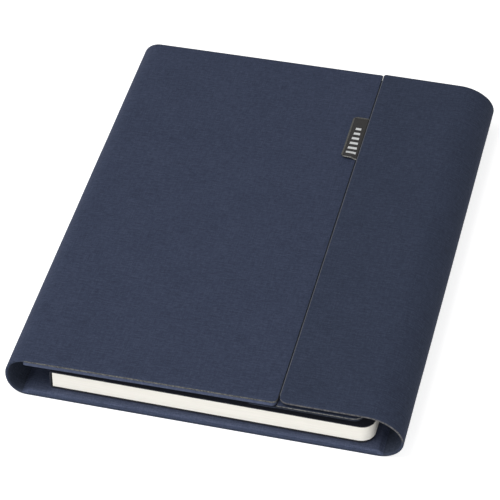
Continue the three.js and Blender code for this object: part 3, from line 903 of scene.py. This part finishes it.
# %% Pen loop
LOOP_BAND = 0.8
LOOP_SEAM = 0.1
FOOT_LENGTH = 5.0
loop_low, loop_high = solid_box("pen_loop")
loop_radius = (loop_high[2] - loop_low[2]) / 2
loop_x = loop_low[0] + loop_radius
loop_stop = math.acos(1 - (LOOP_BAND + LOOP_SEAM) / loop_radius)
loop_angle = -QUARTER - np.linspace(0.0, 2 * math.pi - loop_stop, 60)
loop_turn = np.stack([loop_x + loop_radius * np.cos(loop_angle),
                      loop_low[2] + loop_radius + loop_radius * np.sin(loop_angle)], -1)
loop_line = np.concatenate([[[loop_x + FOOT_LENGTH, loop_low[2]]], loop_turn])
loop_piece, loop_run = cloth_strip("pen_loop_band", loop_line, half_length=loop_high[1])
thicken(loop_piece, LOOP_BAND, [woven_elastic, woven_elastic, woven_elastic], edge=0.15)
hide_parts("pen_loop")
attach(loop_piece, "cover")
print("pen loop band, flat length, mm:", round(loop_run, 1))

# %% [markdown]
# The steel keepers and the magnets lie hidden inside the cloth. They could be drawn finer, but
# nothing of them is ever seen, so the solids of the frame stay and only get a material.

# %% Materials of the hidden metal
HIDDEN_METAL = ("keeper_plate_near", "keeper_plate_far", "flap_magnet_near", "flap_magnet_far")
for node_name in HIDDEN_METAL:
    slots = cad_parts[node_name].data.materials
    slots.clear()
    slots.append(plated_steel)
print("hidden metal pieces:", len(HIDDEN_METAL))

# %% [markdown]
# The label is moulded rubber, with a low raised rim, and comes out from under the flap. Its rim is greyer
# than its face, its near end is pale with a painted highlight, and it carries a plain ladder of white bars.
# The bars could be thin solids, but such print is flat, so the material draws them from the
# label's own millimetres.

# %% Ladder of printed bars
BAR_PITCH = 3.6
BAR_FIRST = 2.8
BAR_COUNT = 6
BAR_HALF_WIDTH = 0.8
BAR_CENTRE = 4.1
BAR_HALF = 2.5
BAR_TAPER = 0.06


def ladder(tree, u, v):
    """1 on a bar: bars repeat each pitch along v, and the half length of a bar falls with v."""
    inside = maths(tree, "SUBTRACT", v, BAR_FIRST)
    in_pitch = maths(tree, "SUBTRACT", maths(tree, "MODULO", inside, BAR_PITCH), BAR_PITCH / 2)
    in_bar = below(tree, maths(tree, "ABSOLUTE", in_pitch), BAR_HALF_WIDTH)
    taper = maths(tree, "MULTIPLY", maths(tree, "ABSOLUTE", inside), BAR_TAPER)
    half = maths(tree, "SUBTRACT", BAR_HALF, taper)
    in_width = below(tree, maths(tree, "ABSOLUTE", maths(tree, "SUBTRACT", u, BAR_CENTRE)), half)
    ends = maths(tree, "MULTIPLY", below(tree, inside, BAR_PITCH * BAR_COUNT), below(tree, 0.0, inside))
    return maths(tree, "MULTIPLY", maths(tree, "MULTIPLY", in_bar, in_width), ends)


print("bars on the label:", BAR_COUNT)

# %% [markdown]
# Face, rim, the painted highlight of the near end and print are four tones on the same moulding. They
# could be four materials on separate faces, but the lines between them would then follow the mesh,
# so one material tells them apart by how far a point lies from the label's edges.

# %% Label rubber
LABEL_MORE = 1.2
LABEL_RIM = 0.8
LABEL_GRAIN = 0.5
HIGHLIGHT_END = 0.6
FACE_TONES = ("#1b1a1a", "#292727")
RIM_TONES = ("#444443", "#5e5e5b")
# The pale tones of the near end are a painted highlight where the lifted end faces the light.
HIGHLIGHT_TONES = ("#747473", "#b4b4b1")
PRINT_TONES = ("#d6d8da", "#eceded")
label_low, label_high = solid_box("label_tab")
label_length = label_high[1] - label_low[1] + LABEL_MORE


def label_material(name):
    """Rubber on the UV map in mm: the rim where u or v is near an edge, bars on the face."""
    material, tree, output = new_material(name)
    uv = node(tree, "ShaderNodeUVMap", uv_map="cloth_mm").outputs[0]
    split = node(tree, "ShaderNodeSeparateXYZ", {0: uv})
    u, v = split.outputs[0], split.outputs[1]
    place = node(tree, "ShaderNodeTexCoord").outputs["Object"]
    grain = noise(tree, place, [LABEL_GRAIN * MM] * 3, 3.0)
    face, rim, wear_and_highlight, white = (
        ramp(tree, grain, (0.35, dark), (0.65, light))
        for dark, light in (FACE_TONES, RIM_TONES, HIGHLIGHT_TONES, PRINT_TONES)
    )
    end = maths(tree, "MINIMUM", v, maths(tree, "SUBTRACT", label_length, v))
    rubber = mixed(tree, below(tree, maths(tree, "MINIMUM", u, end), LABEL_RIM), face, rim)
    # Painted highlight: the first few tenths of a millimetre of the near end take the pale tones.
    rubber = mixed(tree, below(tree, v, HIGHLIGHT_END), rubber, wear_and_highlight)
    printed = mixed(tree, ladder(tree, u, v), rubber, white)
    shade(tree, output, printed, 0.6, 0.3, relief=(0.4, 0.02, grain))
    return material


label_rubber = label_material("moulded_rubber_label")
print("label, mm:", (label_high - label_low).round(2))

# %% [markdown]
# The label is a strip with its own section: flat on the front, bent down into the gap beside the
# flap and level again under it. A straight tab would have to pass through the flap's edge.

# %% Section of the label
LABEL_SHEET = 0.3
BEND_RADIUS = 0.3
SECTION_SPACING = 0.12
label_top = label_high[2]
tuck_top = label_low[2] + LABEL_SHEET
gap_x = PANEL_EDGE + FLAP_GAP / 2
turned_down = np.linspace(QUARTER, 0.0, 7)
turned_back = np.linspace(2 * QUARTER, 3 * QUARTER, 7)
wide = BEND_RADIUS + LABEL_SHEET / 2
tight = BEND_RADIUS - LABEL_SHEET / 2
upper_bend = np.stack([gap_x - BEND_RADIUS + wide * np.cos(turned_down),
                       label_top - wide + wide * np.sin(turned_down)], -1)
lower_bend = np.stack([gap_x + BEND_RADIUS + tight * np.cos(turned_back),
                       tuck_top + tight + tight * np.sin(turned_back)], -1)
label_start = [[label_low[0], label_top]]
label_stop = [[label_high[0], tuck_top]]
label_line = np.concatenate([label_start, upper_bend, lower_bend, label_stop])
label_even, label_run = even_line(label_line, SECTION_SPACING)
print("label, length of its section, mm:", round(float(label_run[-1]), 2))

# %% [markdown]
# Its near end has lifted a little from use, and its rim stands proud by about a tenth of a
# millimetre. Both are heights added to the strip, worked out from how far a point lies from the
# label's edges and from the gap.

# %% Label strip
LABEL_CORNER = 2.4
LABEL_COLUMNS = 121
RIM_HEIGHT = 0.12
RIM_FOOT = LABEL_RIM + 0.2
RIM_SLOPE = 0.3
LIFT = 0.85
LIFT_REACH = 7.0
HELD_BY_FLAP = 0.4
LIFT_SLOPE = 2.5
RIM_END_SLOPE = 0.8
label_pull = corner_reach(label_run, LABEL_CORNER)
label_share = np.linspace(0.0, 1.0, LABEL_COLUMNS)[None]
label_v = label_pull[:, None] + (label_length - 2 * label_pull)[:, None] * label_share
label_u = np.repeat(label_run[:, None], LABEL_COLUMNS, 1)
edge_distance = np.minimum(label_u, np.minimum(label_v, label_length - label_v))
to_gap = PANEL_EDGE - label_low[0] - label_u
rim_rise = RIM_HEIGHT * smooth((RIM_FOOT - edge_distance) / RIM_SLOPE) * smooth(to_gap / RIM_END_SLOPE)
free_part = smooth((LIFT_REACH - label_v) / LIFT_REACH) * smooth((to_gap - HELD_BY_FLAP) / LIFT_SLOPE)
label_z = label_even[:, 1:] + rim_rise + LIFT * free_part
label_x = np.repeat(label_even[:, :1], LABEL_COLUMNS, 1)
label_grid = np.stack([label_x, label_low[1] + label_v, label_z], -1)
label_piece = mesh_piece("label_strip", label_grid, np.stack([label_u, label_v], -1))
thicken(label_piece, LABEL_SHEET, [label_rubber, black_rubber, black_rubber], edge=0.1)
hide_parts("label_tab")
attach(label_piece, "flap")
print("label top, mm:", round(float(label_z.max()), 2))

# %% [markdown]
# The floor is plain white studio paint. It could be lit until it clips, but that would bleach the
# cloth too. So only what the camera sees of it is lifted by a glow, and the diffuse part keeps the
# soft shadow of the folder.

# %% Floor
FLOOR_HALF = 3.0
FLOOR_DROP = 0.0002
FLOOR_GLOW = 0.76
floor_corners = [(-FLOOR_HALF, -FLOOR_HALF, 0), (FLOOR_HALF, -FLOOR_HALF, 0),
                 (FLOOR_HALF, FLOOR_HALF, 0), (-FLOOR_HALF, FLOOR_HALF, 0)]
floor_mesh = bpy.data.meshes.new("studio_floor")
floor_mesh.from_pydata(floor_corners, [], [(0, 1, 2, 3)])
floor = bpy.data.objects.new("studio_floor", floor_mesh)
bpy.context.scene.collection.objects.link(floor)
floor.location.z = -FLOOR_DROP


def seen_by_camera(tree):
    """1 for rays from the camera and for those that mirror or pass through to what lies behind."""
    path = node(tree, "ShaderNodeLightPath")
    mirrored = maths(tree, "MAXIMUM", path.outputs["Is Glossy Ray"], path.outputs["Is Transmission Ray"])
    return maths(tree, "MAXIMUM", path.outputs["Is Camera Ray"], mirrored)


floor_paint, tree, output = new_material("matt_white_studio_paint")
diffuse = node(tree, "ShaderNodeBsdfDiffuse", {"Color": linear("#e6e6e6")})
glow = node(tree, "ShaderNodeEmission", {"Color": (1, 1, 1, 1), "Strength": FLOOR_GLOW})
unlit = node(tree, "ShaderNodeEmission", {"Color": (0, 0, 0, 1), "Strength": 0.0})
lift = node(tree, "ShaderNodeMixShader", {0: seen_by_camera(tree), 1: unlit.outputs[0], 2: glow.outputs[0]})
both = node(tree, "ShaderNodeAddShader", {0: diffuse.outputs[0], 1: lift.outputs[0]})
tree.links.new(both.outputs[0], output.inputs[0])
floor_mesh.materials.append(floor_paint)
print("floor, m:", 2 * FLOOR_HALF, "glow:", FLOOR_GLOW)

# %% [markdown]
# The light is that of a white studio tent: a soft lamp overhead, a little to the left and in front,
# and a wide low one, which stands for the glow of the white table in front and reaches the near
# edges and the pages but leaves the inside in shade. With the even sky they light a level face at
# nearly strength 1, so a colour renders about as it is written.

# %% Light
SKY = 0.25
OVERHEAD_PLACE = (-0.66, -0.38, 1.30)
OVERHEAD_SIDE = 0.9
OVERHEAD_POWER = 12.2
TABLE_PLACE = (0.0, -1.28, 0.22)
TABLE_WIDE = 2.0
TABLE_HIGH = 0.36
TABLE_POWER = 10.9
world = bpy.data.worlds.new("soft_studio")
bpy.context.scene.world = world
world.use_nodes = True
tree = world.node_tree
tree.nodes.clear()
sky = node(tree, "ShaderNodeBackground", {"Color": (1, 1, 1, 1), "Strength": SKY})
plain = node(tree, "ShaderNodeBackground", {"Color": (1, 1, 1, 1), "Strength": 1.0})
shown = node(tree, "ShaderNodeMixShader", {0: seen_by_camera(tree), 1: sky.outputs[0], 2: plain.outputs[0]})
node(tree, "ShaderNodeOutputWorld", {0: shown.outputs[0]})


def lamp(name, place, wide, high, power):
    """A soft lamp at a place, turned to face the folder, all in metres and watts."""
    data = bpy.data.lights.new(name, "AREA")
    data.shape = "RECTANGLE"
    data.size = wide
    data.size_y = high
    data.energy = power
    made = bpy.data.objects.new(name, data)
    made.location = place
    made.rotation_euler = (-Vector(place)).to_track_quat("-Z", "Y").to_euler()
    bpy.context.scene.collection.objects.link(made)


lamp("overhead_lamp", OVERHEAD_PLACE, OVERHEAD_SIDE, OVERHEAD_SIDE, OVERHEAD_POWER)
lamp("table_glow", TABLE_PLACE, TABLE_WIDE, TABLE_HIGH, TABLE_POWER)
bpy.context.scene.view_settings.view_transform = "Standard"
print("lamps:", len(bpy.data.lights))
